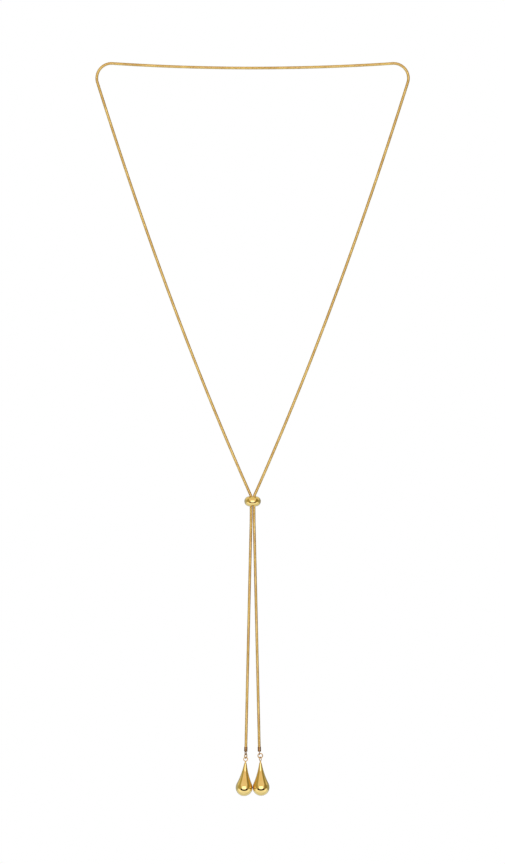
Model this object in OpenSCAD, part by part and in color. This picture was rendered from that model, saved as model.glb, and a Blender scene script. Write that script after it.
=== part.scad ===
// Lariat necklace: one snake chain drawn through a slider bead, with a polished drop on each tail.
// It hangs in the XZ plane, +Z up and +Y to the back. The origin is under the middle of the nape.

/* [Neck loop] */
// Width of the neck loop between its outermost chain centres
loop_w = 155.8; // [140:0.2:176]
// Height from the middle of the nape down to the middle of the slider
loop_h = 216.6; // [190:0.2:244]
// Radius of the chain's bend at each side of the neck
bend_r = 7.4; // [5:0.1:12]
// How far the middle of the nape sags below its two ends
nape_sag = 2.3; // [0.5:0.1:5]
// Lean of each arm from upright where it leaves its bend, in degrees
arm_lean_top = 17.5; // [14:0.5:19]
// Lean of each arm from upright where it reaches the slider, in degrees
arm_lean_low = 24; // [21:0.5:30]

/* [Snake chain] */
// Diameter of the snake chain
chain_d = 1.4; // [1:0.05:1.6]
// Gap between the two strands where they pass through the slider
strand_gap = 0.1; // [0.05:0.01:0.3]
// Radius of the bend that each arm makes at the mouth of the slider
mouth_r = 2.5; // [1.5:0.1:4]
// Depth below the top of the slider at which that bend ends
mouth_sink = 0.5; // [0.2:0.1:1.5]

/* [Tails] */
// Height from the middle of the slider down to the loops of the end caps
tail_h = 126; // [90:0.5:160]
// Height below the slider at which the two tails part
part_h = 6; // [4:0.5:20]
// Half the height over which each tail eases into its own line there
part_ease = 3; // [1:0.5:4]

/* [Slider bead] */
// Outer diameter of the slider bead
bead_d = 8.2; // [7:0.1:10]
// Height of the slider bead
bead_h = 5; // [4:0.1:6]
// Clearance between the strands and the bore
bore_gap = 0.15; // [0.05:0.01:0.3]
// Width of the bevel at each mouth of the bore
bore_bevel = 0.3; // [0.1:0.05:0.4]

/* [End caps] */
// Length of the sleeve that holds the end of the chain
cap_l = 2.4; // [1.6:0.1:4]
// Wall of the sleeve
cap_wall = 0.1; // [0.08:0.01:0.3]
// Clearance between the chain and the inside of the sleeve
cap_gap = 0.02; // [0.01:0.01:0.1]
// Thickness of the sleeve's closed lower end
cap_floor = 0.3; // [0.2:0.05:0.6]
// Outer diameter of the loop under each cap
loop_d = 1.9; // [1.8:0.05:2.4]
// Wire of that loop
loop_wire = 0.4; // [0.3:0.01:0.42]
// Turn of the left cap's loop about the upright, in degrees
loop_turn_left = 32; // [20:1:60]
// Turn of the right cap's loop about the upright, in degrees
loop_turn_right = 0; // [-20:1:20]

/* [Jump rings] */
// Outer diameter of each jump ring
ring_d = 2.8; // [2.6:0.1:4]
// Wire of the jump rings
ring_wire = 0.5; // [0.4:0.01:0.52]
// Clearance between wires that hang in each other
link_gap = 0.08; // [0.06:0.01:0.12]
// Turn of the left jump ring about the upright, in degrees
ring_turn_left = 62; // [55:1:75]
// Turn of the right jump ring about the upright, in degrees
ring_turn_right = 0; // [-10:1:10]
// How far round to the outer side of its loop the right jump ring hangs, in degrees
ring_roll = 40; // [0:1:50]

/* [Drops] */
// Greatest diameter of each drop
drop_d = 8.4; // [6:0.1:10]
// Length of each drop from its tip to its lowest point
drop_l = 16.7; // [14:0.1:20]
// Diameter of the rounded tip
tip_d = 1.3; // [1:0.1:2]
// Radius of the hollow flank between the tip and the round belly
flank_r = 40; // [30:1:60]
// Gap between the two drops where they hang side by side
drop_gap = 0.05; // [0.05:0.05:2]
// Lean of the left drop away from the other, in degrees
drop_lean_left = 3; // [1:0.5:5]
// Outer diameter of the eye on each drop
eye_d = 2.4; // [2.3:0.1:3]
// Wire of the eye
eye_wire = 0.42; // [0.35:0.01:0.45]
// Diameter of the soldered neck between the eye and the tip
neck_d = 0.7; // [0.5:0.05:0.9]
// Length of that neck
neck_l = 0.5; // [0.3:0.1:1]
// Turn of the left drop's eye about the drop's own axis, in degrees
eye_turn_left = 0; // [-10:1:10]
// Turn of the right drop's eye about the drop's own axis, in degrees
eye_turn_right = -62; // [-75:1:-55]

/* [Hidden] */

$fn = 64;
chain_gold = "#c9a264";
bright_gold = "#e0b95a";

// Which way each side lies along X
LEFT = -1;
RIGHT = 1;

// Steps of the chain's route on one side, and the sides of its tube
NAPE_STEPS = 4;
BEND_STEPS = 8;
ARM_STEPS = 10;
MOUTH_STEPS = 2;
EASE_STEPS = 2;
TAIL_STEPS = 6;
TUBE_SIDES = 8;

// Clear space between the end of the chain and the floor of its cap
seat_gap = 0.05;
// Depth to which soldered wires run into what carries them
solder = 0.12;

chain_r = chain_d / 2;
strand_x = (chain_d + strand_gap) / 2;
nape_z = chain_r;
bead_z = nape_z - loop_h;
bead_top_z = bead_z + bead_h / 2;
bead_low_z = bead_z - bead_h / 2;
part_z = bead_low_z - part_h;

// The wires that hang in each other, from the cap's loop down to the drop
loop_r = (loop_d - loop_wire) / 2;
ring_r = (ring_d - ring_wire) / 2;
eye_r = (eye_d - eye_wire) / 2;
cap_loop_z = bead_z - tail_h;
ring_top_z = cap_loop_z - loop_r + (loop_wire + ring_wire) / 2 + link_gap;
ring_z = ring_top_z - ring_r;
eye_top_z = ring_z - ring_r + (ring_wire + eye_wire) / 2 + link_gap;

// The drop, measured down its own axis from the middle of the wire at the top of its eye
belly_r = drop_d / 2;
tip_r = tip_d / 2;
eye_low = eye_r + eye_d / 2;
tip_top = eye_low + neck_l;
tip_centre = tip_top + tip_r;
belly_centre = tip_top + drop_l - belly_r;

// The drops lie side by side, and the tails hang straight up from them
hang_x = (drop_d + drop_gap) / 2 - belly_centre * sin(drop_lean_left);
tail_lean = atan((hang_x - strand_x) / (part_z - cap_loop_z));
cap_low = loop_d / 2 - solder;

// The right jump ring hangs off the outer side of its loop, so its drop hangs nearer to upright
ring_reach = ring_r - (loop_wire + ring_wire) / 2 - link_gap;
ring_shift = ring_reach * sin(ring_roll);
ring_rise = ring_reach * (1 - cos(ring_roll));
drop_lean_right = asin(sin(drop_lean_left) - ring_shift / belly_centre);

// Point on a quadratic or cubic curve through its control points
function curve2(p, t) = (1 - t) * (1 - t) * p[0] + 2 * t * (1 - t) * p[1] + t * t * p[2];
function curve3(p, t) = (1 - t) * curve2([p[0], p[1], p[2]], t) + t * curve2([p[1], p[2], p[3]], t);

// Heading of the chain in the XZ plane, in degrees from +X
function along(heading) = [cos(heading), sin(heading)];

// The nape is a shallow parabola that runs into the bend at nape_end
nape_end_x = loop_w / 2 - bend_r - bend_r * sin(atan(4 * nape_sag / (loop_w - 2 * bend_r)));
nape_end = [nape_end_x, nape_z + nape_sag];
nape_heading = atan(2 * nape_sag / nape_end_x);
arm_heading = -90 - arm_lean_top;
bend_centre = nape_end - bend_r * along(nape_heading + 90);

// The arm runs from the bend to the curve at the slider's mouth
arm_start = bend_centre + bend_r * along(arm_heading + 90);
mouth_centre = [strand_x + mouth_r, bead_top_z - mouth_sink];
arm_end = mouth_centre + mouth_r * along(180 - arm_lean_low);
arm_third = norm(arm_end - arm_start) / 3;
arm_curve = [
  arm_start,
  arm_start + arm_third * along(arm_heading),
  arm_end - arm_third * along(-90 - arm_lean_low),
  arm_end
];

// The tail runs straight down from the slider, then along its own leaning line
tail_down = [sin(tail_lean), -cos(tail_lean)];
tail_end = [hang_x, cap_loop_z] - (cap_low + cap_floor + seat_gap) * tail_down;
ease_curve = [
  [strand_x, part_z + part_ease],
  [strand_x, part_z],
  [strand_x, part_z] + part_ease * tail_down
];
tail_start = ease_curve[2];

// Centre line of the right half of the chain, from the nape to the end of its tail
half_route = concat(
  [for (i = [1 : NAPE_STEPS])
    [nape_end_x * i / NAPE_STEPS, nape_z + nape_sag * pow(i / NAPE_STEPS, 2)]],
  [for (i = [1 : BEND_STEPS])
    bend_centre + bend_r * along(90 + nape_heading + (arm_heading - nape_heading) * i / BEND_STEPS)],
  [for (i = [1 : ARM_STEPS]) curve3(arm_curve, i / ARM_STEPS)],
  [for (i = [1 : MOUTH_STEPS])
    mouth_centre + mouth_r * along(180 - arm_lean_low * (1 - i / MOUTH_STEPS))],
  [for (i = [0 : EASE_STEPS]) curve2(ease_curve, i / EASE_STEPS)],
  [for (i = [1 : TAIL_STEPS]) tail_start + (tail_end - tail_start) * i / TAIL_STEPS]
);
half_count = len(half_route);
route = concat(
  [for (i = [half_count - 1 : -1 : 0]) [-half_route[i][0], half_route[i][1]]],
  [[0, nape_z]],
  half_route
);

// Direction of the route at one of its points, and the round section that stands on it
function tangent(path, i) =
  let (
    before = path[max(i - 1, 0)],
    after = path[min(i + 1, len(path) - 1)]
  )
  (after - before) / norm(after - before);
function section(path, i, r) =
  let (way = tangent(path, i))
  [for (k = [0 : TUBE_SIDES - 1])
    let (
      a = 360 * (k + 0.5) / TUBE_SIDES,
      side = r * cos(a)
    )
    [path[i][0] - way[1] * side, r * sin(a), path[i][1] + way[0] * side]];

// A tube swept along a route that lies in the XZ plane
module tube(path, r) {
  count = len(path);
  rings = [for (i = [0 : count - 1]) each section(path, i, r)];
  walls = [
    for (i = [0 : count - 2], k = [0 : TUBE_SIDES - 1])
      let (
        a = i * TUBE_SIDES + k,
        b = i * TUBE_SIDES + (k + 1) % TUBE_SIDES
      )
      each [[a, b, b + TUBE_SIDES], [a, b + TUBE_SIDES, a + TUBE_SIDES]]
  ];
  start_face = [for (k = [TUBE_SIDES - 1 : -1 : 0]) k];
  end_face = [for (k = [0 : TUBE_SIDES - 1]) (count - 1) * TUBE_SIDES + k];
  polyhedron(points = rings, faces = concat([start_face], walls, [end_face]));
}

// A wire ring that stands upright, with its own plane along X
module wire_ring(outer_d, wire_d) {
  rotate([90, 0, 0])
    rotate_extrude()
      translate([(outer_d - wire_d) / 2, 0])
        circle(d = wire_d);
}

module snake_chain() {
  color(chain_gold)
    tube(route, chain_r);
}

// A round bead with a bore wide enough for both strands
module slider_bead() {
  bore_r = strand_x + chain_r + bore_gap;
  edge_r = bead_h / 2;
  color(bright_gold)
    translate([0, 0, bead_z])
      rotate_extrude()
        difference() {
          translate([bead_d / 2 - edge_r, 0])
            circle(r = edge_r);
          translate([bore_r - bead_d, -bead_h])
            square([bead_d, 2 * bead_h]);
          for (side = [-1, 1])
            polygon([
              [bore_r - bore_bevel, side * (edge_r - 2 * bore_bevel)],
              [bore_r + 2 * bore_bevel, side * (edge_r + bore_bevel)],
              [bore_r - bore_bevel, side * (edge_r + bore_bevel)]
            ]);
        }
}

// A drilled sleeve over the end of the chain, with a loop soldered under it
module end_cap(side, turn) {
  sleeve_r = chain_r + cap_gap + cap_wall;
  color(bright_gold)
    translate([side * hang_x, 0, cap_loop_z]) {
      rotate([0, -side * tail_lean, 0])
        difference() {
          translate([0, 0, cap_low])
            cylinder(r = sleeve_r, h = cap_l);
          translate([0, 0, cap_low + cap_floor])
            cylinder(r = chain_r + cap_gap, h = cap_l);
        }
      rotate([0, 0, turn + 90])
        wire_ring(loop_d, loop_wire);
    }
}

module jump_ring(side, turn, shift = 0, rise = 0) {
  color(bright_gold)
    translate([side * (hang_x + shift), 0, ring_z + rise])
      rotate([0, 0, turn])
        wire_ring(ring_d, ring_wire);
}

// Half outline of the drop: two round ends and a hollow flank that touches both
module drop_outline() {
  reach = belly_centre - tip_centre;
  flank_z = (pow(reach, 2) + pow(belly_r + flank_r, 2) - pow(tip_r + flank_r, 2)) / (2 * reach);
  flank_centre = [sqrt(pow(belly_r + flank_r, 2) - pow(flank_z, 2)), flank_z];
  belly_touch = flank_centre * belly_r / (belly_r + flank_r);
  tip_middle = [0, reach];
  tip_touch = tip_middle + (flank_centre - tip_middle) * tip_r / (tip_r + flank_r);
  intersection() {
    union() {
      circle(r = belly_r);
      translate(tip_middle)
        circle(r = tip_r);
      difference() {
        polygon([[0, 0], belly_touch, tip_touch, tip_middle]);
        translate(flank_centre)
          circle(r = flank_r, $fn = 720);
      }
    }
    translate([0, -drop_l])
      square([drop_d, 2 * drop_l]);
  }
}

// A solid drop with its eye soldered on, hung from the wire at the top of the eye
module teardrop(side, turn, lean, shift = 0, rise = 0) {
  color(bright_gold)
    translate([side * (hang_x + shift), 0, eye_top_z + rise])
      rotate([0, -side * lean, 0]) {
        translate([0, 0, -belly_centre])
          rotate_extrude()
            drop_outline();
        translate([0, 0, -tip_centre])
          cylinder(d = neck_d, h = tip_centre - eye_low + eye_wire / 2);
        translate([0, 0, -eye_r])
          rotate([0, 0, turn])
            wire_ring(eye_d, eye_wire);
      }
}

snake_chain();
slider_bead();
end_cap(LEFT, loop_turn_left);  // end_cap_left
end_cap(RIGHT, loop_turn_right);  // end_cap_right
jump_ring(LEFT, ring_turn_left);  // jump_ring_left
jump_ring(RIGHT, ring_turn_right, ring_shift, ring_rise);  // jump_ring_right
teardrop(LEFT, eye_turn_left, drop_lean_left);  // teardrop_left
teardrop(RIGHT, eye_turn_right, drop_lean_right, ring_shift, ring_rise);  // teardrop_right
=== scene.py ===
# Lariat necklace in gold plate: a snake chain drawn through a slider bead, with a drop on each tail.
import math

import bpy
import numpy as np
from bpy.props import FloatProperty, FloatVectorProperty, IntProperty, PointerProperty
from mathutils import Matrix, Vector


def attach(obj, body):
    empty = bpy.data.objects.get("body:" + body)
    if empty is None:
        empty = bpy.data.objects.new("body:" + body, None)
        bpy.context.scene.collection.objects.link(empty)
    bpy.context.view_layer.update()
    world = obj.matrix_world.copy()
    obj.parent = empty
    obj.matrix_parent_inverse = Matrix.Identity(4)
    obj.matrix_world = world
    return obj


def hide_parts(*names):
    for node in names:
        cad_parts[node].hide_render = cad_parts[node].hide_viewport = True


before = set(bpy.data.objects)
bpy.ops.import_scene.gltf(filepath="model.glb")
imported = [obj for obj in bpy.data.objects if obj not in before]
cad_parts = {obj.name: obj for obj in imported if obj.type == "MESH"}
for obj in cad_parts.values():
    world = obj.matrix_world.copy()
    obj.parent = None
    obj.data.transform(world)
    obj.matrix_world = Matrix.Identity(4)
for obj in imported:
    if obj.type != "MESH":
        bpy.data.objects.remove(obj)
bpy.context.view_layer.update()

bl_info = {
    "name": "Lariat necklace",
    "version": (1, 0, 0),
    "blender": (4, 5, 0),
    "location": "View3D > Sidebar > Necklace",
    "description": "Builds a slider lariat necklace in gold plate around its solid frame",
    "category": "Add Mesh",
}

MM = 0.001

# The photograph's frame, and the pixel that the middle of the nape falls on
PHOTO_WIDTH = 505
PHOTO_HEIGHT = 864
NAPE_PIXEL = (252.6, 69.45)
METRES_PER_PIXEL = 0.5 * MM

# The root body of the frame, and the side of X that each half hangs on
ROOT = "necklace"
SIDES = {"left": -1, "right": 1}

# How finely each form is divided: points along its curve, or sides round it
STEPS = {
    "nape": 200,
    "side_bend": 120,
    "arm": 800,
    "mouth": 40,
    "parting": 40,
    "tail": 300,
    "wire_ring": 96,
    "wire_round": 24,
    "bead": 57,
    "bore_lip": 9,
    "bead_round": 128,
    "cap_edge": 7,
    "cap_lip": 11,
    "cap_round": 64,
    "belly": 56,
    "flank": 48,
    "tip": 16,
    "drop_round": 128,
    "floor": 96,
}

# Points of the hanging line that are nearer to each other than this are one
SAME_POINT = 1e-7
# Points of a turned outline that are nearer to its axis than this lie on it
ON_AXIS = 1e-9

# Small forms that no user would change, and the heading of the cut in each jump ring
CAP_EDGE = 0.15 * MM
NECK_FILLET = 0.1 * MM
CUT_WAY = math.radians(25)
HAIRLINE_HEIGHT = 0.01 * MM

# How much duller than the drops the drawn wire and the caps are
WIRE_DULLER = 0.12
CAP_DULLER = 0.2


def length(name, description, mm):
    """A length in metres, given in millimetres."""
    return FloatProperty(
        name=name, description=description, default=mm * MM, min=0.0, precision=5, unit="LENGTH"
    )


def angle(name, description, degrees):
    """An angle in radians, given in degrees."""
    return FloatProperty(name=name, description=description, default=math.radians(degrees), unit="ROTATION")


def colour(name, description, rgb):
    """A colour, given as linear red, green and blue."""
    return FloatVectorProperty(
        name=name, description=description, default=rgb, min=0.0, max=2.0, size=3, subtype="COLOR"
    )


def share(name, description, value, high=1.0):
    """A plain number from zero up."""
    return FloatProperty(name=name, description=description, default=value, min=0.0, max=high)


class NecklaceForm(bpy.types.PropertyGroup):
    """The line that the whole chain hangs in"""

    loop_w: length("Loop width", "Width of the neck loop between its outermost chain centres", 155.8)
    loop_h: length("Loop height", "From the middle of the nape down to the middle of the slider", 216.6)
    bend_r: length("Side bend", "Radius of the chain's bend at each side of the neck", 7.4)
    nape_sag: length("Nape sag", "How far the middle of the nape sags below its ends", 2.3)
    arm_lean_top: angle("Upper arm lean", "Lean of each arm from upright below its bend", 17.5)
    arm_lean_low: angle("Lower arm lean", "Lean of each arm from upright at the slider", 24.0)
    strand_gap: length("Strand gap", "Gap between the two strands inside the slider", 0.1)
    mouth_r: length("Mouth bend", "Radius of each arm's bend at the mouth of the slider", 2.5)
    mouth_sink: length("Mouth depth", "Depth below the slider's top at which that bend ends", 0.5)
    tail_h: length("Tail height", "From the middle of the slider down to the loops of the caps", 126.0)
    part_h: length("Parting height", "Height below the slider at which the tails part", 6.0)
    part_ease: length("Parting ease", "Half the height over which each tail eases outwards", 3.0)


class ChainSizes(bpy.types.PropertyGroup):
    """The snake chain's own links"""

    chain_d: length("Diameter", "Diameter of the snake chain", 1.4)
    pitch: length("Link pitch", "Distance from one link to the next", 0.6)
    wave: length("Wave", "Height of the wave along each link's edge", 0.11)
    groove: length("Groove depth", "Depth of the groove between two links", 0.1)
    shoulder: length("Shoulder", "How far each link's edges are rounded down", 0.022)
    sides: IntProperty(name="Sides", description="Points round each link", default=24, min=8, max=48)


class FittingSizes(bpy.types.PropertyGroup):
    """The slider, caps, rings and drops"""

    bead_d: length("Bead diameter", "Outer diameter of the slider bead", 8.2)
    bead_h: length("Bead height", "Height of the slider bead", 5.0)
    bore_gap: length("Bore clearance", "Clearance between the strands and the bore", 0.15)
    bore_lip: length("Bore lip", "Radius of the rounded lip at each mouth of the bore", 0.3)
    cap_l: length("Cap length", "Length of the sleeve that holds the chain's end", 2.4)
    cap_wall: length("Cap wall", "Wall of the sleeve", 0.1)
    cap_gap: length("Cap clearance", "Clearance between the chain and the sleeve", 0.02)
    cap_floor: length("Cap floor", "Thickness of the sleeve's closed end", 0.3)
    loop_d: length("Loop diameter", "Outer diameter of the loop under each cap", 1.9)
    loop_wire: length("Loop wire", "Wire of that loop", 0.4)
    ring_d: length("Ring diameter", "Outer diameter of each jump ring", 2.8)
    ring_wire: length("Ring wire", "Wire of the jump rings", 0.5)
    ring_cut: length("Ring cut", "Width of the closed cut in each jump ring", 0.03)
    ring_roll: angle("Ring roll", "How far round its loop's outer side the right jump ring hangs", 40.0)
    link_gap: length("Link clearance", "Clearance between wires that hang in each other", 0.08)
    drop_d: length("Drop diameter", "Greatest diameter of each drop", 8.4)
    drop_l: length("Drop length", "Length of each drop from its tip", 16.7)
    tip_d: length("Tip diameter", "Diameter of the rounded tip", 1.3)
    flank_r: length("Flank radius", "Radius of the hollow flank between tip and belly", 40.0)
    drop_gap: length("Drop gap", "Gap between the two drops", 0.05)
    drop_lean: angle("Drop lean", "Lean of the left drop away from the other", 3.0)
    eye_d: length("Eye diameter", "Outer diameter of the eye on each drop", 2.4)
    eye_wire: length("Eye wire", "Wire of the eye", 0.42)
    neck_d: length("Neck diameter", "Diameter of the soldered neck under the eye", 0.7)
    neck_l: length("Neck length", "Length of that neck", 0.5)
    solder: length("Solder depth", "How far soldered wires run into what carries them", 0.12)
    seat_gap: length("Seat gap", "Space between the chain's end and its cap's floor", 0.05)
    loop_turn_left: angle("Left loop turn", "Turn of the left cap's loop", 32.0)
    loop_turn_right: angle("Right loop turn", "Turn of the right cap's loop", 0.0)
    ring_turn_left: angle("Left ring turn", "Turn of the left jump ring", 62.0)
    ring_turn_right: angle("Right ring turn", "Turn of the right jump ring", 0.0)
    eye_turn_left: angle("Left eye turn", "Turn of the left drop's eye", 0.0)
    eye_turn_right: angle("Right eye turn", "Turn of the right drop's eye", -62.0)


class GoldColours(bpy.types.PropertyGroup):
    """The gold plate's colours and polish"""

    bright: colour("Bright gold", "Colour of the polished plate", (0.77, 0.565, 0.22))
    deep: colour("Deep gold", "Warmer tone that the plate drifts to", (0.7, 0.485, 0.16))
    chain: colour("Chain gold", "Colour of the links", (0.76, 0.53, 0.17))
    chain_deep: colour("Deep chain gold", "Warmer tone that the links drift to", (0.62, 0.39, 0.12))
    chain_edge: colour("Chain edge", "Tint that the links take where they turn away", (0.3, 0.2, 0.08))
    wire: colour("Wire gold", "Colour of the jump rings and the eyes", (0.62, 0.38, 0.13))
    wire_deep: colour("Deep wire gold", "Warmer tone that the wire drifts to", (0.46, 0.27, 0.09))
    # The caps' colour and its deep tone are darker than the other gold as painted shade, not because the
    # plate is duller
    cap: colour("Cap gold", "Duller colour of the caps", (0.31, 0.17, 0.065))
    shaded_cap_deep: colour("Deep cap gold", "Warmer tone that the caps drift to", (0.22, 0.12, 0.045))
    # The groove tone is painted shade down between the links
    groove: colour("Painted groove shade", "Colour down between the links", (0.16, 0.085, 0.03))
    polish: share("Polish", "Roughness of the drops and the slider", 0.035)
    satin: share("Satin", "Roughness of the chain's links", 0.28)


class StudioSettings(bpy.types.PropertyGroup):
    """Camera, front light, floor and the room that the gold reflects"""

    camera_distance: FloatProperty(
        name="Camera distance", description="From the camera to the necklace", default=1.5, unit="LENGTH"
    )
    front_power: share("Front light", "Brightness of the broad light behind the camera", 1.85, 20.0)
    floor_drop: length("Floor drop", "From the nape down to the floor that the camera sees", 620)
    floor_r: length("Floor radius", "Radius at which the floor has faded out into the page", 1300)
    floor_tone: colour("Floor tone", "Colour of the floor that the camera sees", (0.84, 0.87, 1.0))
    page: colour("Page", "Plain white that the camera sees behind everything", (1.0, 1.0, 1.0))
    room: colour("Room", "Warm left wall, and whatever the other parts leave bare", (0.56, 0.5, 0.24))
    right_wall: colour("Right wall", "Duller wall at the right of the camera", (0.38, 0.32, 0.12))
    low_wall: colour("Low walls", "Paler foot of both walls", (0.93, 0.86, 0.58))
    panel: colour("Panel", "Tall soft panel behind the camera", (1.08, 1.0, 0.9))
    ceiling: colour("Ceiling", "Warm ceiling over the necklace", (1.0, 0.94, 0.7))
    shade: colour("Shade", "Dark strip between the panel and the floor", (0.02, 0.01, 0.0))
    glow: colour("Glow", "Fading light above the front light", (1.1, 0.94, 0.78))
    floor: colour("Mirrored floor", "Pale floor as the gold reflects it", (1.35, 1.45, 1.55))
    floor_low: colour("Mirrored floor below", "Its duller part under the necklace", (1.12, 1.22, 1.35))
    backdrop: colour("Backdrop", "Pale backdrop behind the necklace", (0.6, 0.66, 0.66))
    right_backdrop: colour("Right backdrop", "Duller right half of the backdrop", (0.45, 0.47, 0.38))
    high_backdrop: colour("High backdrop", "Brighter top of the backdrop", (0.95, 0.92, 0.72))
    low_backdrop: colour("Low backdrop", "Paler foot of the backdrop", (0.95, 1.05, 1.1))
    gap: colour("Gap", "Dark strip straight behind, for pieces that mirror each other", (0.03, 0.02, 0.01))


def settings():
    """The scene's settings in the order form, chain, fittings, gold and studio."""
    s = bpy.context.scene
    return s.necklace_form, s.necklace_chain, s.necklace_fittings, s.necklace_gold, s.necklace_studio


# The hanging line. Points in the plane of the necklace are pairs of X and Z.


def along(heading):
    """Unit direction in the plane at a heading from +X."""
    return np.array([math.cos(heading), math.sin(heading)])


def arc(centre, radius, start, end, steps):
    """Points on an arc, from one heading of its radius to another."""
    turns = np.linspace(start, end, steps)
    return centre + radius * np.column_stack([np.cos(turns), np.sin(turns)])


def once_round(sides):
    """Even headings once round a circle."""
    return np.linspace(0.0, 2 * math.pi, sides, endpoint=False)


def curve(points, steps):
    """Points on the quadratic or cubic curve through its control points."""
    t = np.linspace(0.0, 1.0, steps)[:, None]
    level = [np.asarray(p) for p in points]
    while len(level) > 1:
        level = [(1 - t) * a + t * b for a, b in zip(level, level[1:])]
    return level[0]


class Hang:
    """Heights and offsets of everything that hangs, worked out from the named sizes."""

    def __init__(self, form, chain, fit):
        self.form = form
        self.chain_r = chain.chain_d / 2
        self.strand_x = (chain.chain_d + form.strand_gap) / 2
        self.bead_z = self.chain_r - form.loop_h
        self.bead_top = self.bead_z + fit.bead_h / 2
        self.part_z = self.bead_z - fit.bead_h / 2 - form.part_h
        self.loop_r = (fit.loop_d - fit.loop_wire) / 2
        self.ring_r = (fit.ring_d - fit.ring_wire) / 2
        self.eye_r = (fit.eye_d - fit.eye_wire) / 2
        self.loop_z = self.bead_z - form.tail_h
        ring_top = self.loop_z - self.loop_r + (fit.loop_wire + fit.ring_wire) / 2 + fit.link_gap
        self.ring_z = ring_top - self.ring_r
        self.eye_top = self.ring_z - self.ring_r + (fit.ring_wire + fit.eye_wire) / 2 + fit.link_gap
        self.belly_r = fit.drop_d / 2
        self.tip_r = fit.tip_d / 2
        self.eye_low = self.eye_r + fit.eye_d / 2
        self.tip_centre = self.eye_low + fit.neck_l + self.tip_r
        self.belly_centre = self.eye_low + fit.neck_l + fit.drop_l - self.belly_r
        self.hang_x = (fit.drop_d + fit.drop_gap) / 2 - self.belly_centre * math.sin(fit.drop_lean)
        self.tail_lean = math.atan((self.hang_x - self.strand_x) / (self.part_z - self.loop_z))
        self.cap_low = fit.loop_d / 2 - fit.solder
        self.chain_stop = self.cap_low + fit.cap_floor + fit.seat_gap
        # The right jump ring hangs off its loop's outer side, and its drop nearer to upright
        reach = self.ring_r - (fit.loop_wire + fit.ring_wire) / 2 - fit.link_gap
        shift, rise = reach * math.sin(fit.ring_roll), reach * (1 - math.cos(fit.ring_roll))
        self.shift = {"left": 0.0, "right": shift}
        self.rise = {"left": 0.0, "right": rise}
        right_lean = math.asin(math.sin(fit.drop_lean) - shift / self.belly_centre)
        self.lean = {"left": fit.drop_lean, "right": right_lean}

    def hung(self, name, height):
        """The place of what hangs on one side, at a height given for the left side."""
        x = SIDES[name] * (self.hang_x + self.shift[name])
        return Matrix.Translation((x, 0, height + self.rise[name]))


def workbench():
    """The settings that the pieces share, and the places worked out from them."""
    form, chain, fit, gold, _ = settings()
    return chain, fit, gold, Hang(form, chain, fit)


def half_line(hang):
    """Centre line of the right half of the chain, and its lengths to the arm and to the slider."""
    form = hang.form
    span = form.loop_w / 2 - form.bend_r
    nape_x = span - form.bend_r * math.sin(math.atan(2 * form.nape_sag / span))
    nape_end = np.array([nape_x, hang.chain_r + form.nape_sag])
    nape_way = math.atan(2 * form.nape_sag / nape_x)
    arm_way = -math.pi / 2 - form.arm_lean_top
    low_way = -math.pi / 2 - form.arm_lean_low
    bend = nape_end - form.bend_r * along(nape_way + math.pi / 2)
    arm_start = bend + form.bend_r * along(arm_way + math.pi / 2)
    mouth = np.array([hang.strand_x + form.mouth_r, hang.bead_top - form.mouth_sink])
    arm_end = mouth + form.mouth_r * along(math.pi - form.arm_lean_low)
    third = np.linalg.norm(arm_end - arm_start) / 3
    down = np.array([math.sin(hang.tail_lean), -math.cos(hang.tail_lean)])
    tail_end = np.array([hang.hang_x, hang.loop_z]) - hang.chain_stop * down
    part = np.array([hang.strand_x, hang.part_z])
    ease_end = part + form.part_ease * down
    nape_t = np.linspace(0.0, 1.0, STEPS["nape"])
    stretches = [
        np.column_stack([nape_t * nape_x, hang.chain_r + form.nape_sag * nape_t**2]),
        arc(bend, form.bend_r, nape_way + math.pi / 2, arm_way + math.pi / 2, STEPS["side_bend"]),
        curve(
            [arm_start, arm_start + third * along(arm_way), arm_end - third * along(low_way), arm_end],
            STEPS["arm"],
        ),
        arc(mouth, form.mouth_r, math.pi - form.arm_lean_low, math.pi, STEPS["mouth"]),
        curve([part + [0.0, form.part_ease], part, ease_end], STEPS["parting"]),
        curve([ease_end, tail_end], STEPS["tail"]),
    ]
    points = np.vstack(stretches)
    keep = np.r_[True, np.linalg.norm(np.diff(points, axis=0), axis=1) > SAME_POINT]
    points = points[keep]
    lengths = np.r_[0.0, np.cumsum(np.linalg.norm(np.diff(points, axis=0), axis=1))]
    to_arm = lengths[np.argmin(np.linalg.norm(points - arm_start, axis=1))]
    below = np.argmax(points[:, 1] < hang.bead_z)
    to_bead = np.interp(-hang.bead_z, -points[below - 1 : below + 1, 1], lengths[below - 1 : below + 1])
    return points, lengths, to_arm, to_bead


# Mesh making


def new_piece(name, shape, material, body):
    """Makes a smooth mesh object of a shape's points and faces, with its material and body."""
    points, faces = shape
    mesh = bpy.data.meshes.new(name)
    mesh.from_pydata([tuple(p) for p in points], [], faces)
    mesh.validate()
    mesh.polygons.foreach_set("use_smooth", [True] * len(mesh.polygons))
    mesh.materials.append(material)
    mesh.update()
    piece = bpy.data.objects.new(name, mesh)
    bpy.context.scene.collection.objects.link(piece)
    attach(piece, body)
    return piece


def grid_faces(rows, columns, closed_rows=False):
    """Quads over a grid whose rows are rings of points, closed round each ring."""
    last = rows if closed_rows else rows - 1
    r, c = np.meshgrid(np.arange(last), np.arange(columns), indexing="ij")
    down, right = (r + 1) % rows, (c + 1) % columns
    quads = [r * columns + c, r * columns + right, down * columns + right, down * columns + c]
    return np.stack([q.ravel() for q in quads], axis=1).tolist()


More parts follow.
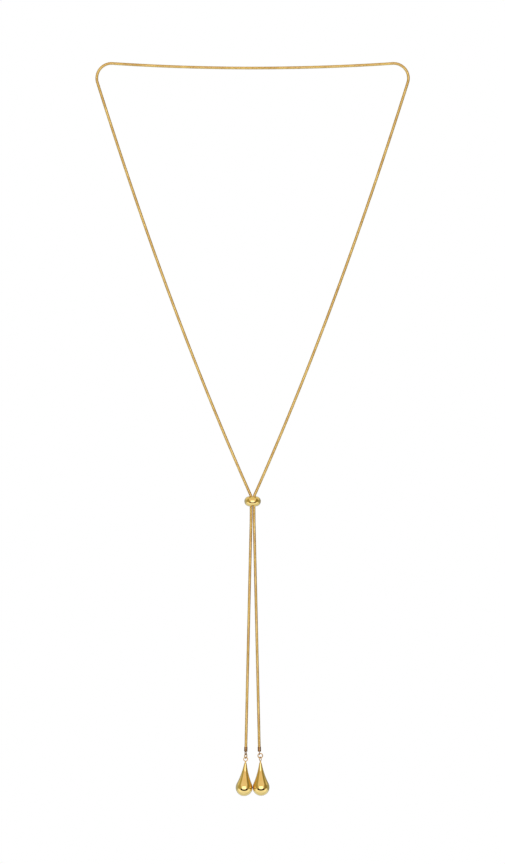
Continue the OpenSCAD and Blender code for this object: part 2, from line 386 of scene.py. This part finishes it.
def lathe(outline, sides):
    """Turns an outline of radius and height pairs about Z. Outline ends on the axis close in a point."""
    points, rows = [], []
    turns = once_round(sides)
    for radius, height in outline:
        if radius < ON_AXIS:
            rows.append([len(points)])
            points.append((0.0, 0.0, height))
        else:
            rows.append(list(range(len(points), len(points) + sides)))
            points += [(radius * math.cos(a), radius * math.sin(a), height) for a in turns]
    faces = []
    for low, high in zip(rows, rows[1:]):
        for k in range(sides):
            n = (k + 1) % sides
            if len(low) == 1:
                faces.append((low[0], high[n], high[k]))
            elif len(high) == 1:
                faces.append((low[k], low[n], high[0]))
            else:
                faces.append((low[k], low[n], high[n], high[k]))
    return points, faces


def closed_lathe(outline, sides):
    """Turns a closed outline about Z, as for a bead with a bore."""
    points = [(r * math.cos(a), r * math.sin(a), z) for r, z in outline for a in once_round(sides)]
    return points, grid_faces(len(outline), sides, closed_rows=True)


def wire_ring(radius, wire_r, cut=0.0, cut_at=0.0):
    """An upright ring of wire whose plane holds X and Z. A cut leaves two flat ends facing each other."""
    steps, sides = STEPS["wire_ring"], STEPS["wire_round"]
    half = cut / radius / 2
    if cut:
        turns = np.linspace(cut_at + half, cut_at + 2 * math.pi - half, steps)
    else:
        turns = once_round(steps)
    points = []
    for a in turns:
        for k in range(sides):
            b = 2 * math.pi * k / sides
            out = radius + wire_r * math.cos(b)
            points.append((out * math.cos(a), wire_r * math.sin(b), out * math.sin(a)))
    faces = grid_faces(len(turns), sides, closed_rows=not cut)
    if cut:
        faces.append(list(range(sides)))
        faces.append([(steps - 1) * sides + k for k in range(sides - 1, -1, -1)])
    return points, faces


def placed(shape, matrix):
    """The shape's points carried by a matrix, with its faces as they were."""
    points, faces = shape
    return [matrix @ Vector(p) for p in points], faces


def joined(*shapes):
    """Several shapes in one list of points and one of faces."""
    points, faces = [], []
    for shape_points, shape_faces in shapes:
        start = len(points)
        points += list(shape_points)
        faces += [[start + i for i in f] for f in shape_faces]
    return points, faces


# Shader node groups


def feed(tree, value, socket):
    """Links a value to a socket, or sets it there where it is a number or a colour."""
    if isinstance(value, bpy.types.NodeSocket):
        tree.links.new(value, socket)
    else:
        socket.default_value = value


def make_group(name, inputs, outputs):
    """An empty node group with named sockets, and its input and output nodes."""
    group = bpy.data.node_groups.new(name, "ShaderNodeTree")
    for label, kind, value in inputs:
        socket = group.interface.new_socket(name=label, in_out="INPUT", socket_type=kind)
        socket.default_value = value
    for label, kind in outputs:
        group.interface.new_socket(name=label, in_out="OUTPUT", socket_type=kind)
    return group, group.nodes.new("NodeGroupInput"), group.nodes.new("NodeGroupOutput")


def noise_node(tree, detail, roughness=0.5):
    """A noise texture with the given detail."""
    node = tree.nodes.new("ShaderNodeTexNoise")
    node.inputs["Detail"].default_value = detail
    node.inputs["Roughness"].default_value = roughness
    return node


def ranged(tree, value, low, high, way="LINEAR"):
    """Nothing where a value is at low, one where it is at high, and level beyond both."""
    node = tree.nodes.new("ShaderNodeMapRange")
    node.interpolation_type = way
    node.inputs["From Min"].default_value = low
    node.inputs["From Max"].default_value = high
    tree.links.new(value, node.inputs["Value"])
    return node.outputs["Result"]


def math_node(tree, operation, *values):
    """A math node over its inputs, each a socket or a number."""
    node = tree.nodes.new("ShaderNodeMath")
    node.operation = operation
    for slot, value in zip(node.inputs, values):
        feed(tree, value, slot)
    return node.outputs["Value"]


def mixed(tree, cover, under, over):
    """One colour over another, as far as the cover says. Each colour is a socket or four numbers."""
    node = tree.nodes.new("ShaderNodeMix")
    node.data_type = "RGBA"
    tree.links.new(cover, node.inputs["Factor"])
    feed(tree, under, node.inputs["A"])
    feed(tree, over, node.inputs["B"])
    return node.outputs["Result"]


def plating_group():
    """Slow drift of the gold plate's tone and polish over the surface."""
    colour_kind, number = "NodeSocketColor", "NodeSocketFloat"
    group, source, result = make_group(
        "Plating drift",
        [
            ("Bright", colour_kind, (0.9, 0.65, 0.3, 1.0)),
            ("Deep", colour_kind, (0.8, 0.5, 0.2, 1.0)),
            ("Scale", number, 300.0),
            ("Roughness", number, 0.1),
            ("Spread", number, 0.03),
        ],
        [("Color", colour_kind), ("Roughness", number)],
    )
    link = group.links.new
    place = group.nodes.new("ShaderNodeTexCoord")
    drift = noise_node(group, 3.0)
    link(place.outputs["Object"], drift.inputs["Vector"])
    link(source.outputs["Scale"], drift.inputs["Scale"])
    # The noise keeps near its middle, so that part alone is spread over the whole drift
    even = ranged(group, drift.outputs["Fac"], 0.35, 0.65)
    tone = mixed(group, even, source.outputs["Bright"], source.outputs["Deep"])
    link(tone, result.inputs["Color"])
    dulled = math_node(group, "MULTIPLY_ADD", even, source.outputs["Spread"], source.outputs["Roughness"])
    link(dulled, result.inputs["Roughness"])
    return group


# The two sets of hairlines: how each is turned, and its noise's scale along X, Y and Z, where a small
# one draws the noise out into lines
HAIRLINES = (
    ((0.3, 0.9, 0.2), (1.0, 0.08, 1.0)),
    ((1.1, 0.1, 0.7), (0.08, 1.0, 1.0)),
)


def hairlines_group():
    """Very fine polishing hairlines, as a height for a bump."""
    group, source, result = make_group(
        "Polishing hairlines",
        [("Scale", "NodeSocketFloat", 900.0), ("Depth", "NodeSocketFloat", 1.0)],
        [("Height", "NodeSocketFloat")],
    )
    link = group.links.new
    place = group.nodes.new("ShaderNodeTexCoord")
    sets = []
    for turn, stretch in HAIRLINES:
        mapping = group.nodes.new("ShaderNodeMapping")
        mapping.inputs["Rotation"].default_value = turn
        mapping.inputs["Scale"].default_value = stretch
        lines = noise_node(group, 2.0, 0.7)
        link(place.outputs["Object"], mapping.inputs["Vector"])
        link(mapping.outputs["Vector"], lines.inputs["Vector"])
        link(source.outputs["Scale"], lines.inputs["Scale"])
        # Only the crests of the noise are lines
        sets.append(ranged(group, lines.outputs["Fac"], 0.6, 0.68))
    total = math_node(group, "ADD", *sets)
    link(math_node(group, "MULTIPLY", total, source.outputs["Depth"]), result.inputs["Height"])
    return group


def shared_group(name, maker):
    """A node group that is built once and used by every material that asks for it."""
    return bpy.data.node_groups.get(name) or maker()


def group_node(tree, group, **values):
    """Places a node group with its own values."""
    node = tree.nodes.new("ShaderNodeGroup")
    node.node_tree = group
    for label, value in values.items():
        node.inputs[label].default_value = value
    return node


def gold_material(
    name, tones, roughness, spread, drift_scale, hairline_scale, bump, edge=(1.0, 1.0, 1.0), groove=None
):
    """Gold plate on brass with drifting tone and polish, hairlines, and painted shade in the grooves where
    marked.
    """
    material = bpy.data.materials.get(name)
    if material:
        return material
    bright, deep = tones
    material = bpy.data.materials.new(name)
    material.use_nodes = True
    tree = material.node_tree
    link = tree.links.new
    shader = tree.nodes["Principled BSDF"]
    shader.inputs["Metallic"].default_value = 1.0
    shader.inputs["Specular Tint"].default_value = (*edge, 1.0)
    plate = group_node(
        tree,
        shared_group("Plating drift", plating_group),
        Bright=(*bright, 1.0),
        Deep=(*deep, 1.0),
        Scale=drift_scale,
        Roughness=roughness,
        Spread=spread,
    )
    hairlines = group_node(
        tree, shared_group("Polishing hairlines", hairlines_group), Scale=hairline_scale, Depth=1.0
    )
    raised = tree.nodes.new("ShaderNodeBump")
    raised.inputs["Strength"].default_value = bump
    raised.inputs["Distance"].default_value = HAIRLINE_HEIGHT
    link(hairlines.outputs["Height"], raised.inputs["Height"])
    link(raised.outputs["Normal"], shader.inputs["Normal"])
    link(plate.outputs["Roughness"], shader.inputs["Roughness"])
    tone = plate.outputs["Color"]
    # Painted shade: where a ring is marked, the tone goes dark towards the groove tone
    if groove is not None:
        shade_mark = tree.nodes.new("ShaderNodeAttribute")
        shade_mark.attribute_name = "groove"
        tone = mixed(tree, shade_mark.outputs["Fac"], tone, (*groove, 1.0))
    link(tone, shader.inputs["Base Color"])
    return material


def chain_material(gold):
    """Satin gold of the pressed links, with painted shade down in the grooves."""
    return gold_material(
        "Snake chain gold",
        (gold.chain, gold.chain_deep),
        gold.satin,
        spread=0.08,
        drift_scale=160.0,
        hairline_scale=2600.0,
        bump=0.3,
        edge=gold.chain_edge,
        groove=gold.groove,
    )


def polished_material(gold):
    """Mirror polish of the drops and the slider."""
    return gold_material(
        "Polished gold",
        (gold.bright, gold.deep),
        gold.polish,
        spread=0.02,
        drift_scale=120.0,
        hairline_scale=1500.0,
        bump=0.06,
    )


def ring_material(gold):
    """Drawn wire of the jump rings and the eyes, a little duller than the drops."""
    return gold_material(
        "Ring gold",
        (gold.wire, gold.wire_deep),
        gold.polish + WIRE_DULLER,
        spread=0.06,
        drift_scale=500.0,
        hairline_scale=3000.0,
        bump=0.3,
    )


def shaded_cap_material(gold):
    """The dullest polish, on the caps and their loops, in tones darkened to paint shade on them."""
    return gold_material(
        "Cap gold",
        (gold.cap, gold.shaded_cap_deep),
        gold.polish + CAP_DULLER,
        spread=0.08,
        drift_scale=600.0,
        hairline_scale=3000.0,
        bump=0.4,
        edge=gold.chain_edge,
    )


# The pieces

# Where the rings of a link stand along its pitch, how far each is sunk, and how much painted shade it
# takes:
# share of the pitch, share of the groove's depth, share of the shoulder, mark of painted shade
LINK_RINGS = (
    (0.0, 1.0, 0.0, 1.0),
    (0.08, 0.0, 1.0, 0.25),
    (0.26, 0.0, 0.2, 0.0),
    (0.5, 0.0, 0.0, 0.0),
    (0.74, 0.0, 0.2, 0.0),
    (0.92, 0.0, 1.0, 0.25),
)

# Links over which the wave dies away at both ends of a stretch
FADE_LINKS = 2


def chain_stretch(name, start, stop, mirror, line, chain, material):
    """A closed skin over the links between two lengths along the half line, from groove to groove."""
    points, lengths, pitch = line
    first, last = round(start / pitch), round(stop / pitch)
    rings = [
        (link + at, chain.chain_d / 2 - sunk * chain.groove - eased * chain.shoulder, shade_mark)
        for link in range(first, last)
        for at, sunk, eased, shade_mark in LINK_RINGS
    ]
    rings.append((last, chain.chain_d / 2 - chain.groove, 1.0))
    station = np.array([r[0] for r in rings]) * pitch
    radius = np.array([r[1] for r in rings])[:, None]

    def at(s):
        x = np.interp(np.abs(s), lengths, points[:, 0]) * np.where(s < 0, -1, 1)
        return np.column_stack([x, np.interp(np.abs(s), lengths, points[:, 1])])

    centre = at(station)
    # The heading at each ring is taken over a tenth of a link each way
    way = at(station + pitch / 10) - at(station - pitch / 10)
    way /= np.linalg.norm(way, axis=1)[:, None]
    turns = once_round(chain.sides)[None, :]
    lift = chain.wave * np.cos(2 * turns)
    # The wave dies away at the two ends, so that neighbouring stretches meet face to face
    to_end = np.minimum(station - station[0], station[-1] - station)
    fade = np.minimum(1.0, to_end / (FADE_LINKS * pitch))[:, None]
    px = centre[:, :1] + way[:, :1] * lift * fade - way[:, 1:] * radius * np.cos(turns)
    pz = centre[:, 1:] + way[:, 1:] * lift * fade + way[:, :1] * radius * np.cos(turns)
    py = np.broadcast_to(radius * np.sin(turns), px.shape)
    if mirror:
        px = -px
    cloud = np.stack([px, py, pz], axis=2).reshape(-1, 3)
    count = len(rings)
    faces = grid_faces(count, chain.sides)
    faces.append(list(range(chain.sides - 1, -1, -1)))
    faces.append([(count - 1) * chain.sides + k for k in range(chain.sides)])
    if not mirror:
        faces = [f[::-1] for f in faces]
    piece = new_piece(name, (cloud, faces), material, ROOT)
    # Each ring's mark sets how much painted shade its points take
    shade_marks = piece.data.attributes.new("groove", "FLOAT", "POINT")
    shade_marks.data.foreach_set("value", np.repeat([r[2] for r in rings], chain.sides).astype(np.float32))
    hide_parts("snake_chain")


class NECKLACE_OT_snake_chain(bpy.types.Operator):
    """Lays the links of the snake chain along the whole hanging line"""

    bl_idname = "necklace.snake_chain"
    bl_label = "Snake chain"

    def execute(self, context):
        chain, _, gold, hang = workbench()
        points, lengths, to_arm, to_bead = half_line(hang)
        material = chain_material(gold)
        # A whole number of links fills the line from the middle of the nape to the end of the tail
        line = (points, lengths, lengths[-1] / round(lengths[-1] / chain.pitch))
        chain_stretch("snake_nape", -to_arm, to_arm, False, line, chain, material)
        for name, side in SIDES.items():
            mirror = side < 0
            chain_stretch(f"snake_arm_{name}", to_arm, to_bead, mirror, line, chain, material)
            chain_stretch(f"snake_tail_{name}", to_bead, lengths[-1], mirror, line, chain, material)
        return {"FINISHED"}


class NECKLACE_OT_slider_bead(bpy.types.Operator):
    """Turns the polished slider bead with its rounded bore"""

    bl_idname = "necklace.slider_bead"
    bl_label = "Slider bead"

    def execute(self, context):
        _, fit, gold, hang = workbench()
        bore_r = hang.strand_x + hang.chain_r + fit.bore_gap
        edge_r = fit.bead_h / 2
        lip = fit.bore_lip
        middle = np.array([fit.bead_d / 2 - edge_r, 0.0])
        meet = math.asin(min(1.0, (bore_r + lip - middle[0]) / edge_r))
        outer = arc(middle, edge_r, -math.pi / 2 + meet, math.pi / 2 - meet, STEPS["bead"])
        upper = np.array([bore_r + lip, edge_r - lip])
        lower = np.array([bore_r + lip, lip - edge_r])
        outline = np.vstack(
            [
                outer,
                arc(upper, lip, math.pi / 2, math.pi, STEPS["bore_lip"])[1:],
                arc(lower, lip, math.pi, 1.5 * math.pi, STEPS["bore_lip"])[:-1],
            ]
        )
        turned = closed_lathe(outline[::-1], STEPS["bead_round"])
        shape = placed(turned, Matrix.Translation((0, 0, hang.bead_z)))
        piece = new_piece("slider_bead_polished", shape, polished_material(gold), ROOT)
        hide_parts("slider_bead")
        return {"FINISHED"}


class NECKLACE_OT_end_caps(bpy.types.Operator):
    """Turns the sleeves over the chain's ends and bends their loops"""

    bl_idname = "necklace.end_caps"
    bl_label = "End caps"

    def execute(self, context):
        _, fit, gold, hang = workbench()
        inner = hang.chain_r + fit.cap_gap
        outer = inner + fit.cap_wall
        low, high = hang.cap_low, hang.cap_low + fit.cap_l
        lip = fit.cap_wall / 2
        corner = np.array([outer - CAP_EDGE, low + CAP_EDGE])
        mouth = np.array([outer - lip, high - lip])
        outline = np.vstack(
            [
                [(0.0, low)],
                arc(corner, CAP_EDGE, -math.pi / 2, 0.0, STEPS["cap_edge"]),
                arc(mouth, lip, 0.0, math.pi, STEPS["cap_lip"]),
                [(inner, low + fit.cap_floor), (0.0, low + fit.cap_floor)],
            ]
        )
        for name, side in SIDES.items():
            base = Matrix.Translation((side * hang.hang_x, 0, hang.loop_z))
            turned = lathe(outline, STEPS["cap_round"])
            sleeve = placed(turned, base @ Matrix.Rotation(-side * hang.tail_lean, 4, "Y"))
            turn = getattr(fit, f"loop_turn_{name}") + math.pi / 2
            ring = wire_ring(hang.loop_r, fit.loop_wire / 2)
            loop = placed(ring, base @ Matrix.Rotation(turn, 4, "Z"))
            shape = joined(sleeve, loop)
            # The caps take tones darkened as painted shade
            piece = new_piece(f"end_cap_{name}_drawn", shape, shaded_cap_material(gold), ROOT)
            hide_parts(f"end_cap_{name}")
        return {"FINISHED"}


class NECKLACE_OT_jump_rings(bpy.types.Operator):
    """Bends the two jump rings, each with its closed cut"""

    bl_idname = "necklace.jump_rings"
    bl_label = "Jump rings"

    def execute(self, context):
        _, fit, gold, hang = workbench()
        for name in SIDES:
            ring = wire_ring(hang.ring_r, fit.ring_wire / 2, fit.ring_cut, CUT_WAY)
            turn = Matrix.Rotation(getattr(fit, f"ring_turn_{name}"), 4, "Z")
            shape = placed(ring, hang.hung(name, hang.ring_z) @ turn)
            material = ring_material(gold)
            piece = new_piece(f"jump_ring_{name}_wire", shape, material, f"{name}_ring")
            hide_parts(f"jump_ring_{name}")
        return {"FINISHED"}


def drop_outline(hang, fit):
    """Outline of a drop from its lowest point up to the top of its neck, measured down from the eye."""
    reach = hang.belly_centre - hang.tip_centre
    belly_r, tip_r, flank_r = hang.belly_r, hang.tip_r, fit.flank_r
    flank_z = (reach**2 + (belly_r + flank_r) ** 2 - (tip_r + flank_r) ** 2) / (2 * reach)
    flank = np.array([math.sqrt((belly_r + flank_r) ** 2 - flank_z**2), flank_z])
    belly_way = math.atan2(flank[1], flank[0])
    tip_way = math.atan2(flank[1] - reach, flank[0])
    neck_r = fit.neck_d / 2
    neck_way = math.acos(neck_r / tip_r)
    belly = arc(np.zeros(2), belly_r, -math.pi / 2, belly_way, STEPS["belly"])
    hollow = arc(flank, flank_r, math.pi + belly_way, math.pi + tip_way, STEPS["flank"])
    tip = arc(np.array([0.0, reach]), tip_r, tip_way, neck_way, STEPS["tip"])
    neck_top = hang.belly_centre - hang.eye_low + fit.eye_wire / 2
    blend = tip[-1] + [0.0, NECK_FILLET]
    outline = np.vstack([belly, hollow[1:], tip[1:], [blend, (neck_r, neck_top), (0.0, neck_top)]])
    outline[0, 0] = 0.0
    outline[:, 1] -= hang.belly_centre
    return outline


class NECKLACE_OT_teardrops(bpy.types.Operator):
    """Turns the two polished drops and solders an eye to each"""

    bl_idname = "necklace.teardrops"
    bl_label = "Teardrops"

    def execute(self, context):
        _, fit, gold, hang = workbench()
        outline = drop_outline(hang, fit)
        for name, side in SIDES.items():
            base = hang.hung(name, hang.eye_top) @ Matrix.Rotation(-side * hang.lean[name], 4, "Y")
            drop = placed(lathe(outline, STEPS["drop_round"]), base)
            turn = Matrix.Rotation(getattr(fit, f"eye_turn_{name}"), 4, "Z")
            ring = wire_ring(hang.eye_r, fit.eye_wire / 2)
            eye = placed(ring, base @ Matrix.Translation((0, 0, -hang.eye_r)) @ turn)
            shape = joined(drop, eye)
            material = polished_material(gold)
            piece = new_piece(f"teardrop_{name}_polished", shape, material, f"{name}_drop")
            # The eye is the second material's, and everything under it the first's
            piece.data.materials.append(ring_material(gold))
            finish = [0] * len(drop[1]) + [1] * len(eye[1])
            piece.data.polygons.foreach_set("material_index", finish)
            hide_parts(f"teardrop_{name}")
        return {"FINISHED"}


# The studio

# The front light: its middle, the point it faces, its width and height, and its tint
FRONT_PLACE = (0.0, -1.7, -0.26)
FRONT_TARGET = (0.0, 0.0, -0.26)
FRONT_SIZE = (1.7, 1.3)
FRONT_TINT = (0.6, 0.68, 1.0)

# Share of the floor's radius inside which it is fully painted
FLOOR_CORE = 0.3

# The parts of the room, each laid over the ones before it. A part covers a direction as far as all its
# measures agree: each counts for nothing at its first number and in full at its second. In a direction
# of length one, x is to the right, y away from the camera and z up. aside is how far x is from the
# middle, bowed is the height above a line that rises towards both sides, and tilted is the distance
# behind a plane that leans back as it rises.
ROOM = (
    ("right_wall", [("x", 0.3, 0.6)]),
    ("low_wall", [("z", -0.15, -0.3), ("aside", 0.6, 0.75)]),
    ("panel", [("aside", 0.74, 0.6), ("y", 0.0, -0.15)]),
    ("glow", [("z", 0.7, 0.5), ("aside", 0.46, 0.34), ("y", 0.0, -0.15)]),
    ("shade", [("bowed", -0.34, -0.42), ("aside", 0.8, 0.66), ("y", 0.0, -0.15)]),
    ("ceiling", [("z", 0.72, 0.85)]),
    ("floor", [("tilted", -0.04, 0.08), ("z", -0.1, -0.25)]),
    ("floor_low", [("tilted", -0.04, 0.08), ("z", -0.1, -0.25), ("z", -0.6, -0.9)]),
    ("backdrop", [("y", -0.1, 0.25)]),
    ("right_backdrop", [("y", -0.1, 0.25), ("x", 0.1, 0.3)]),
    ("high_backdrop", [("y", -0.1, 0.25), ("z", 0.25, 0.45)]),
    ("low_backdrop", [("y", -0.1, 0.25), ("z", -0.25, -0.45)]),
    ("gap", [("aside", 0.45, 0.3), ("y", 0.82, 0.94), ("z", 0.25, 0.1)]),
)
# How steeply that line rises and how far that plane leans back
BOW = 0.45
TILT = 1.22


def front_light(studio):
    """The broad soft light behind the camera. Its power is given as the brightness of its face."""
    width, height = FRONT_SIZE
    lamp = bpy.data.lights.new("Front light", "AREA")
    lamp.shape = "RECTANGLE"
    lamp.size, lamp.size_y = width, height
    lamp.color = FRONT_TINT
    lamp.energy = studio.front_power * math.pi * width * height
    light = bpy.data.objects.new("Front light", lamp)
    light.location = FRONT_PLACE
    light.rotation_mode = "QUATERNION"
    light.rotation_quaternion = (Vector(FRONT_TARGET) - Vector(FRONT_PLACE)).to_track_quat("-Z", "Y")
    bpy.context.scene.collection.objects.link(light)


def studio_world(studio):
    """The room by direction, as the gold sees it. The camera itself sees a plain white page."""
    world = bpy.data.worlds.new("Studio")
    bpy.context.scene.world = world
    world.use_nodes = True
    tree = world.node_tree
    link = tree.links.new
    tree.nodes.clear()
    place = tree.nodes.new("ShaderNodeTexCoord")
    parts = tree.nodes.new("ShaderNodeSeparateXYZ")
    link(place.outputs["Generated"], parts.inputs["Vector"])
    measures = {axis.lower(): parts.outputs[axis] for axis in "XYZ"}
    measures["aside"] = math_node(tree, "ABSOLUTE", measures["x"])
    bow = math_node(tree, "MULTIPLY", measures["aside"], BOW)
    measures["bowed"] = math_node(tree, "SUBTRACT", measures["z"], bow)
    tilt = math_node(tree, "MULTIPLY", measures["z"], TILT)
    measures["tilted"] = math_node(tree, "SUBTRACT", measures["y"], tilt)
    shown = (*studio.room, 1.0)
    for part, ranges in ROOM:
        covers = [ranged(tree, measures[name], low, high, "SMOOTHSTEP") for name, low, high in ranges]
        cover = covers[0]
        for other in covers[1:]:
            cover = math_node(tree, "MULTIPLY", cover, other)
        shown = mixed(tree, cover, shown, (*getattr(studio, part), 1.0))
    light_path = tree.nodes.new("ShaderNodeLightPath")
    shown = mixed(tree, light_path.outputs["Is Camera Ray"], shown, (*studio.page, 1.0))
    background = tree.nodes.new("ShaderNodeBackground")
    link(shown, background.inputs["Color"])
    output = tree.nodes.new("ShaderNodeOutputWorld")
    link(background.outputs["Background"], output.inputs["Surface"])


def floor_material(studio):
    """Matt paint in the middle, which gives way to the shining white of the page towards the rim."""
    material = bpy.data.materials.new("Floor paint")
    material.use_nodes = True
    tree = material.node_tree
    link = tree.links.new
    shader = tree.nodes["Principled BSDF"]
    shader.inputs["Roughness"].default_value = 1.0
    shader.inputs["Emission Strength"].default_value = 1.0
    place = tree.nodes.new("ShaderNodeTexCoord")
    flat = tree.nodes.new("ShaderNodeVectorMath")
    flat.operation = "MULTIPLY"
    flat.inputs[1].default_value = (1.0, 1.0, 0.0)
    reach = tree.nodes.new("ShaderNodeVectorMath")
    reach.operation = "LENGTH"
    link(place.outputs["Object"], flat.inputs[0])
    link(flat.outputs["Vector"], reach.inputs[0])
    rim, core = studio.floor_r, studio.floor_r * FLOOR_CORE
    coats = (
        (studio.floor_tone, rim, core, "Base Color"),
        (studio.page, core, rim, "Emission Color"),
    )
    for tint, low, high, socket in coats:
        coat = tree.nodes.new("ShaderNodeVectorMath")
        coat.operation = "SCALE"
        coat.inputs[0].default_value = tint
        link(ranged(tree, reach.outputs["Value"], low, high, "SMOOTHSTEP"), coat.inputs["Scale"])
        link(coat.outputs["Vector"], shader.inputs[socket])
    return material


def pale_floor(studio):
    """A round pale floor well under the necklace. The camera alone sees it, never the gold."""
    drop, radius, sides = studio.floor_drop, studio.floor_r, STEPS["floor"]
    points = [(radius * math.cos(a), radius * math.sin(a), -drop) for a in once_round(sides)]
    mesh = bpy.data.meshes.new("Studio_floor")
    mesh.from_pydata(points, [], [range(sides)])
    mesh.materials.append(floor_material(studio))
    floor = bpy.data.objects.new("Studio_floor", mesh)
    floor.visible_glossy = False
    floor.visible_diffuse = False
    floor.visible_shadow = False
    bpy.context.scene.collection.objects.link(floor)


class NECKLACE_OT_studio(bpy.types.Operator):
    """Sets the camera, the front light, the floor and the room"""

    bl_idname = "necklace.studio"
    bl_label = "Studio"

    def execute(self, context):
        studio = settings()[-1]
        scene = context.scene
        scene.view_settings.view_transform = "Standard"
        middle_x = (PHOTO_WIDTH / 2 - NAPE_PIXEL[0]) * METRES_PER_PIXEL
        middle_z = (NAPE_PIXEL[1] - PHOTO_HEIGHT / 2) * METRES_PER_PIXEL
        camera = bpy.data.cameras.new("Camera")
        camera.lens = camera.sensor_width * studio.camera_distance / (PHOTO_HEIGHT * METRES_PER_PIXEL)
        view = bpy.data.objects.new("Camera", camera)
        view.location = (middle_x, -studio.camera_distance, middle_z)
        view.rotation_euler = (math.pi / 2, 0, 0)
        scene.collection.objects.link(view)
        scene.camera = view
        studio_world(studio)
        pale_floor(studio)
        front_light(studio)
        return {"FINISHED"}


class NECKLACE_PT_builder(bpy.types.Panel):
    """Lists the pieces of the necklace and the studio"""

    bl_idname = "NECKLACE_PT_builder"
    bl_label = "Lariat necklace"
    bl_space_type = "VIEW_3D"
    bl_region_type = "UI"
    bl_category = "Necklace"

    def draw(self, context):
        for operator in OPERATORS:
            self.layout.operator(operator.bl_idname)
        for group in settings():
            box = self.layout.box()
            for label in group.__annotations__:
                box.prop(group, label)


GROUPS = {
    "necklace_form": NecklaceForm,
    "necklace_chain": ChainSizes,
    "necklace_fittings": FittingSizes,
    "necklace_gold": GoldColours,
    "necklace_studio": StudioSettings,
}
OPERATORS = (
    NECKLACE_OT_studio,
    NECKLACE_OT_snake_chain,
    NECKLACE_OT_slider_bead,
    NECKLACE_OT_end_caps,
    NECKLACE_OT_jump_rings,
    NECKLACE_OT_teardrops,
)
CLASSES = (*GROUPS.values(), *OPERATORS, NECKLACE_PT_builder)


def register():
    for cls in CLASSES:
        bpy.utils.register_class(cls)
    for label, group in GROUPS.items():
        setattr(bpy.types.Scene, label, PointerProperty(type=group))


def unregister():
    for label in GROUPS:
        delattr(bpy.types.Scene, label)
    for cls in reversed(CLASSES):
        bpy.utils.unregister_class(cls)


def main():
    """Builds every piece."""
    register()
    for operator in OPERATORS:
        family, _, name = operator.bl_idname.partition(".")
        getattr(getattr(bpy.ops, family), name)()


if __name__ == "__main__":
    main()
